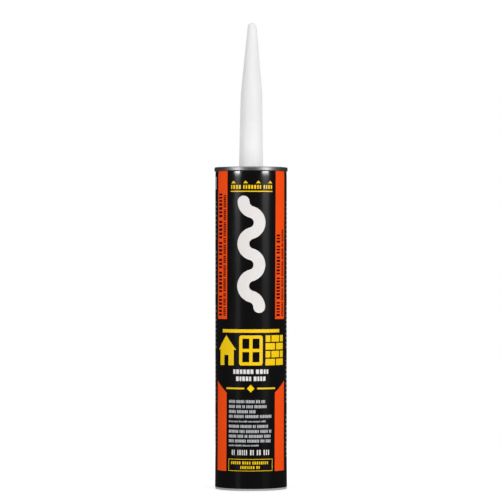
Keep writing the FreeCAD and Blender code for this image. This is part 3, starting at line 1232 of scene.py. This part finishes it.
# %% [markdown]
# ## The nozzle
#
# The nozzle is one soft moulding: a flange under the metal end, a hub, a gentle cone, a steeper
# cone and a shut tip. A long soft nozzle is seldom quite straight. This one bows a little to the
# right towards its tip, as the photograph shows. The tip is a blunt point with two slanted sides,
# a flat one on the left and a steep one on the right, whose edges are soft, as in any moulding.

# %% Nozzle sizes
nozzle_low, nozzle_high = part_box("nozzle")
nozzle_top = nozzle_high.z / MM
flange_bottom = nozzle_low.z / MM
flange_radius = nozzle_high.x / MM
dish_floor = 215.0
tin_sheet = 0.25
flange_top = dish_floor - tin_sheet / 2
hub_radius = 9.8
hub_top = dish_floor + 3.0
root_radius = 8.2
shoulder_radius = 7.4
shoulder_height = rim_height + 49.6
shoulder_rounding = 60.0
tip_radius = 2.85
tip_rounding = 1.6
tip_wall = 1.7
nozzle_wall = 1.4
tip_slants = [(0.0, math.tan(math.radians(22))), (0.9, -math.tan(math.radians(48)))]
tip_edge = 0.3
bore_rounding = 0.8
flange_rounding = 0.3
hub_rounding = 1.0
bow_at_tip = 0.85
bow_power = 1.4
bow_step = 4.0
tip_step = 0.15
print("nozzle above the rim, in mm:", round(nozzle_top - rim_height, 2))

# %% Nozzle


def soft_least(height, limit, edge):
    """The lower of two heights, blended where they are nearly equal."""
    over = height - limit
    if over <= -edge:
        return height
    return limit if over >= edge else height - (over + edge) ** 2 / (4 * edge)


def shape_nozzle(point):
    """Cuts the tip's slanted sides, then bows the nozzle."""
    for start, slope in tip_slants:
        point.z = soft_least(point.z, nozzle_top + (point.x - start) * slope, tip_edge)
    rise = max(point.z - hub_top, 0) / (nozzle_top - hub_top)
    point.x += bow_at_tip * rise**bow_power
    return point


nozzle_corners = [
    (0, nozzle_top - tip_wall, 0),
    (tip_radius - nozzle_wall, nozzle_top - tip_wall, bore_rounding),
    (shoulder_radius - nozzle_wall, shoulder_height, shoulder_rounding),
    (root_radius - nozzle_wall, flange_bottom, 0),
    (flange_radius, flange_bottom, flange_rounding),
    (flange_radius, flange_top, flange_rounding),
    (hub_radius, flange_top, 0),
    (hub_radius, hub_top, hub_rounding),
    (root_radius, rim_height, 0),
    (shoulder_radius, shoulder_height, shoulder_rounding),
    (tip_radius, nozzle_top, tip_rounding),
    (0, nozzle_top, 0),
]
wall_profile = divided(smooth_profile(nozzle_corners), bow_step)
nozzle_profile = wall_profile[:-1] + divided(wall_profile[-2:], tip_step)[1:]
nozzle_piece = spin("bowed_nozzle", nozzle_profile, round_sectors, shape_nozzle)
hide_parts("nozzle")
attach(nozzle_piece, "barrel")

# %% [markdown]
# ## The filling
#
# The filling is a column of paste. When the plunger rises the paste is pushed out, so the column
# shortens and keeps its upper end. A rigid column would cut through the plunger. The piece gets a
# mesh of its own.

# %% Filling
paste_low, paste_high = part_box("sealant")
paste_bottom = paste_low.z / MM
paste_top = paste_high.z / MM
paste_radius = paste_high.x / MM
paste_rounding = 0.3
paste_corners = [
    (0, paste_bottom, 0),
    (paste_radius, paste_bottom, paste_rounding),
    (paste_radius, paste_top, paste_rounding),
    (0, paste_top, 0),
]
paste_piece = spin("paste_column", smooth_profile(paste_corners), round_sectors)
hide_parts("sealant")
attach(paste_piece, "barrel")
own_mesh(paste_piece)

# %% [markdown]
# ## The other finishes
#
# The board tube, the metal end, the seal disc and the plunger have their true shape in the CAD
# model, so they keep it and get a finish. Two more effects help here. "Mould seam" is the fine
# upright line where the two halves of a mould met, and "turned rings" are the fine circles that
# stamping and moulding leave on round flat faces. Both come from the place on the part: the seam
# from the distance to a plane through the axis, the rings from the distance to the axis.

# %% Mould seam
seam, seam_in, seam_out = new_group(
    "Mould seam", {"Width": 0.0003, "Height": 0.00004}, gives=[("Height", "Float")]
)
seam_place = add_node(seam, "ShaderNodeSeparateXYZ")
seam.links.new(place_on_part(seam), seam_place.inputs[0])
off_seam = calculate(seam, "ABSOLUTE", seam_place.outputs["Y"])
seam_line = remap(seam, off_seam, 0.0, seam_in["Width"], 1.0, 0.0)
feed(seam, seam_out["Height"], calculate(seam, "MULTIPLY", seam_line, seam_in["Height"]))

# %% Turned rings
rings, rings_in, rings_out = new_group(
    "Turned rings",
    {"Pitch": 0.0008, "Height": 0.000002, "Start": 0.0, "End": 1.0},
    gives=[("Height", "Float"), ("Edge", "Float")],
)
ring_place = add_node(rings, "ShaderNodeSeparateXYZ")
rings.links.new(place_on_part(rings), ring_place.inputs[0])
square_x = calculate(rings, "POWER", ring_place.outputs["X"], 2.0)
square_y = calculate(rings, "POWER", ring_place.outputs["Y"], 2.0)
reach = calculate(rings, "SQRT", calculate(rings, "ADD", square_x, square_y))
circles = add_node(rings, "ShaderNodeTexNoise", noise_dimensions="1D")
circles.inputs["Scale"].default_value = 1.0
circles.inputs["Detail"].default_value = 2.0
feed(rings, circles.inputs["W"], calculate(rings, "DIVIDE", reach, rings_in["Pitch"]))
ring_height = calculate(rings, "MULTIPLY", circles.outputs["Fac"], rings_in["Height"])
feed(rings, rings_out["Height"], ring_height)
edge_mask = remap(rings, reach, rings_in["Start"], rings_in["End"], 0.0, 1.0)
feed(rings, rings_out["Edge"], edge_mask)

# %% [markdown]
# Three finishes change their colour over the piece: the metal end's rolled edge is darker, a painted
# shade, the bare board has a dark joint, and the nozzle's thick root is paler, a painted light. Each
# change takes the colour that the finish has so far and blends or scales it with a mask.

# %% Colour tools


def colour_sockets(sockets):
    """The sockets of a Mix node that carry colours."""
    return [socket for socket in sockets if socket.type == "RGBA"]


def darken_edge(material, turned, edge_colour):
    """Blends a finish to another colour where the turned rings say that its edge begins."""
    tree = material.node_tree
    base = tree.nodes["Principled BSDF"].inputs["Base Color"]
    blend = add_node(tree, "ShaderNodeMix", data_type="RGBA")
    inner, outer = colour_sockets(blend.inputs)
    feed(tree, inner, base.links[0].from_socket)
    feed(tree, outer, (*edge_colour, 1))
    feed(tree, blend.inputs["Factor"], turned["Edge"])
    feed(tree, base, colour_sockets(blend.outputs)[0])


def draw_joint(material, width, brightness_left):
    """Darkens the thin helical joint where two turns of board meet."""
    tree = material.node_tree
    base = tree.nodes["Principled BSDF"].inputs["Base Color"]
    joint = use_group(tree, ridges, Pitch=ply_pitch, Width=width)
    shadow = add_node(tree, "ShaderNodeVectorMath", operation="SCALE")
    feed(tree, shadow.inputs[0], base.links[0].from_socket)
    share = calculate(tree, "MULTIPLY_ADD", joint["Mask"], brightness_left - 1, 1.0)
    feed(tree, shadow.inputs["Scale"], share)
    feed(tree, base, shadow.outputs[0])


def paint_light_on_root(material, root_height, thin_height, gain):
    """Makes a finish paler towards the root: painted light on the root, which the metal end shades."""
    tree = material.node_tree
    base = tree.nodes["Principled BSDF"].inputs["Base Color"]
    height = add_node(tree, "ShaderNodeSeparateXYZ")
    feed(tree, height.inputs[0], place_on_part(tree))
    light_paint_scale = add_node(tree, "ShaderNodeVectorMath", operation="SCALE")
    feed(tree, light_paint_scale.inputs[0], base.links[0].from_socket)
    share = remap(tree, height.outputs["Z"], root_height, thin_height, gain, 1.0)
    feed(tree, light_paint_scale.inputs["Scale"], share)
    feed(tree, base, light_paint_scale.outputs[0])


# %% [markdown]
# The board is grey and dull, with coarse fibres that make its tone uneven. The metal end is rolled
# tinplate: fully metallic, with fine rings round its middle and a rolled edge in painted shade.

# %% Board and tinplate
board_ridge = 0.00003
joint_width = 0.0007
joint_brightness = 0.45
# The rolled edge's darker colour is painted shade that dims the rim's reflections.
rim_painted_shade = (0.4, 0.41, 0.425)

board = new_finish(
    "wound_board",
    (0.4, 0.395, 0.385),
    roughness=0.85,
    rub=0.05,
    ripple_size=0.0008,
    ripple_height=0.00002,
    tone=0.35,
)
add_relief(board, ridges, Pitch=ply_pitch, Width=ply_band, Height=board_ridge)
draw_joint(board, joint_width, joint_brightness)
tinplate = new_finish(
    "tinplate",
    (0.66, 0.67, 0.685),
    roughness=0.42,
    rub=0.05,
    ripple_size=0.002,
    ripple_height=0.000002,
    tone=0.06,
    Metallic=1.0,
)
turned = add_relief(tinplate, rings, Pitch=0.0012, Height=0.000006, Start=0.0212, End=0.0228)
# Painted shade: the tinplate turns darker at its rolled edge.
darken_edge(tinplate, turned, rim_painted_shade)

# %% [markdown]
# The nozzle and the plunger are unpainted polyethylene, which lets some light in and spreads it
# under the surface. That softens the shading of the long cone, so the nozzle gets much of it. A
# transparent shader would show the bore too clearly.

# %% Plastics
# The paler root is painted light, for the shade that the metal end casts on the root.
painted_root_light = 1.18
painted_light_length = 42

nozzle_plastic = new_finish(
    "nozzle_plastic",
    (0.8, 0.8, 0.795),
    roughness=0.6,
    rub=0.08,
    ripple_size=0.003,
    ripple_height=0.000004,
    tone=0.03,
    Subsurface_Weight=0.9,
    Subsurface_Scale=0.0025,
    Subsurface_Radius=(1.0, 1.0, 1.0),
)
add_relief(nozzle_plastic, seam)
# Painted light: the nozzle turns paler towards its root.
paint_light_on_root(nozzle_plastic, hub_top * MM, (hub_top + painted_light_length) * MM, painted_root_light)
plunger_plastic = new_finish(
    "plunger_plastic",
    (0.78, 0.78, 0.76),
    roughness=0.42,
    rub=0.1,
    ripple_size=0.003,
    ripple_height=0.000006,
    tone=0.04,
    Subsurface_Weight=0.15,
    Subsurface_Scale=0.004,
    Subsurface_Radius=(1.0, 1.0, 1.0),
)
add_relief(plunger_plastic, rings, Pitch=0.0016, Height=0.00003)

# %% [markdown]
# The seal disc is bright crinkled foil, and the filling is a wet paste. Neither is seen in the
# whole part, so they get plain versions of their real looks. Each piece then takes its finish.

# %% Foil, paste and placing the finishes
foil = new_finish(
    "foil",
    (0.8, 0.8, 0.8),
    roughness=0.25,
    rub=0.1,
    ripple_size=0.002,
    ripple_height=0.00003,
    tone=0.05,
    Metallic=1.0,
)
paste = new_finish(
    "sealant_paste",
    (0.8, 0.79, 0.75),
    roughness=0.3,
    rub=0.1,
    ripple_size=0.004,
    ripple_height=0.0001,
    tone=0.05,
)

nozzle_piece.data.materials.append(nozzle_plastic)
paste_piece.data.materials.append(paste)
cad_finishes = {
    "board_tube": board,
    "tin_end": tinplate,
    "foil_seal": foil,
    "plunger": plunger_plastic,
}
for node, finish in cad_finishes.items():
    cad_mesh = frame["nodes"][node].data
    cad_mesh.materials.clear()
    cad_mesh.materials.append(finish)
